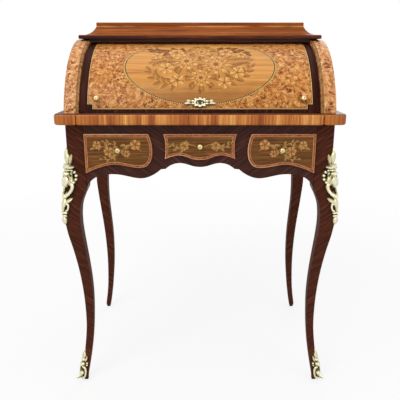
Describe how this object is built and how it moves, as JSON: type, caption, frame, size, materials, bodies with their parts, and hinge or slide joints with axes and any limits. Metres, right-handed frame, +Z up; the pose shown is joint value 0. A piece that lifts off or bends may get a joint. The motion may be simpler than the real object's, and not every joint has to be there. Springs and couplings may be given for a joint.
{
  "type": "cylinder desk",
  "caption": "Small cylinder desk on cabriole legs: a curved fall rolls up over pigeonholes, a leather writing slide pulls out and shaped drawers open in the frieze.",
  "frame": {"origin": "on the floor, under the middle of the plate", "axes": "+Z up, -Y towards the sitter at the front, +X to the sitter's right"},
  "size_m": [0.7, 0.485, 0.9624],
  "materials": {
    "kingwood": "dark kingwood veneer with diagonal grain, French polished",
    "tulipwood": "cross-banded tulipwood veneer, French polished",
    "burl": "golden burl veneer with kingwood border and boxwood stringing, French polished",
    "satinwood": "plain satinwood, waxed",
    "oak": "plain oak, unpolished",
    "gilt_brass": "gilt cast brass, bright",
    "iron": "forged iron, blackened",
    "leather": "brown writing leather"
  },
  "bodies": {
    "carcase": {"front_left_leg": "kingwood", "front_right_leg": "kingwood", "rear_left_leg": "kingwood", "rear_right_leg": "kingwood", "knee_mounts": "gilt_brass", "sabots": "gilt_brass", "frieze_top_rail": "kingwood", "frieze_lower_rail": "kingwood", "frieze_dividers": "kingwood", "left_apron": "kingwood", "right_apron": "kingwood", "rear_apron": "kingwood", "drawer_runners": "oak", "slide_bearers": "oak", "left_plate_rail": "tulipwood", "right_plate_rail": "tulipwood", "rear_plate_rail": "tulipwood", "left_case_side": "burl", "right_case_side": "burl", "case_back": "oak", "cap_base": "kingwood", "cap_cove": "burl", "cap_back": "oak", "cap_top": "burl", "cap_front_rail": "kingwood", "interior_floor": "satinwood", "interior_shelf": "satinwood", "interior_top": "satinwood", "interior_lower_uprights": "satinwood", "interior_upper_uprights": "satinwood", "interior_backs": "satinwood", "fall_pivots": "iron"},
    "fall": {"fall_panel": "burl", "fall_arms": "iron", "fall_knobs": "gilt_brass", "fall_escutcheon": "gilt_brass", "fall_lock": "iron"},
    "slide": {"slide_board": "kingwood", "slide_lip": "tulipwood", "slide_leather": "leather"},
    "left_drawer": {"left_drawer_front": "tulipwood", "left_drawer_walls": "oak", "left_drawer_bottom": "oak", "left_drawer_knob": "gilt_brass"},
    "middle_drawer": {"middle_drawer_front": "tulipwood", "middle_drawer_walls": "oak", "middle_drawer_bottom": "oak", "middle_drawer_knob": "gilt_brass"},
    "right_drawer": {"right_drawer_front": "tulipwood", "right_drawer_walls": "oak", "right_drawer_bottom": "oak", "right_drawer_knob": "gilt_brass"},
    "left_small_drawer": {"left_small_drawer_front": "satinwood", "left_small_drawer_box": "oak", "left_small_drawer_knob": "gilt_brass"},
    "right_small_drawer": {"right_small_drawer_front": "satinwood", "right_small_drawer_box": "oak", "right_small_drawer_knob": "gilt_brass"}
  },
  "joints": [
    {"name": "fall_roll", "type": "hinge", "parent": "carcase", "child": "fall", "pos_m": [0, 0.0102, 0.6804], "axis": [-1, 0, 0], "range_deg": [0, 48]},
    {"name": "slide_pull", "type": "slide", "parent": "carcase", "child": "slide", "axis": [0, -1, 0], "range_m": [0, 0.21]},
    {"name": "left_drawer_pull", "type": "slide", "parent": "carcase", "child": "left_drawer", "axis": [0, -1, 0], "range_m": [0, 0.24]},
    {"name": "middle_drawer_pull", "type": "slide", "parent": "carcase", "child": "middle_drawer", "axis": [0, -1, 0], "range_m": [0, 0.24]},
    {"name": "right_drawer_pull", "type": "slide", "parent": "carcase", "child": "right_drawer", "axis": [0, -1, 0], "range_m": [0, 0.24]},
    {"name": "left_small_drawer_pull", "type": "slide", "parent": "carcase", "child": "left_small_drawer", "axis": [0, -1, 0], "range_m": [0, 0.09]},
    {"name": "right_small_drawer_pull", "type": "slide", "parent": "carcase", "child": "right_small_drawer", "axis": [0, -1, 0], "range_m": [0, 0.09]}
  ]
}
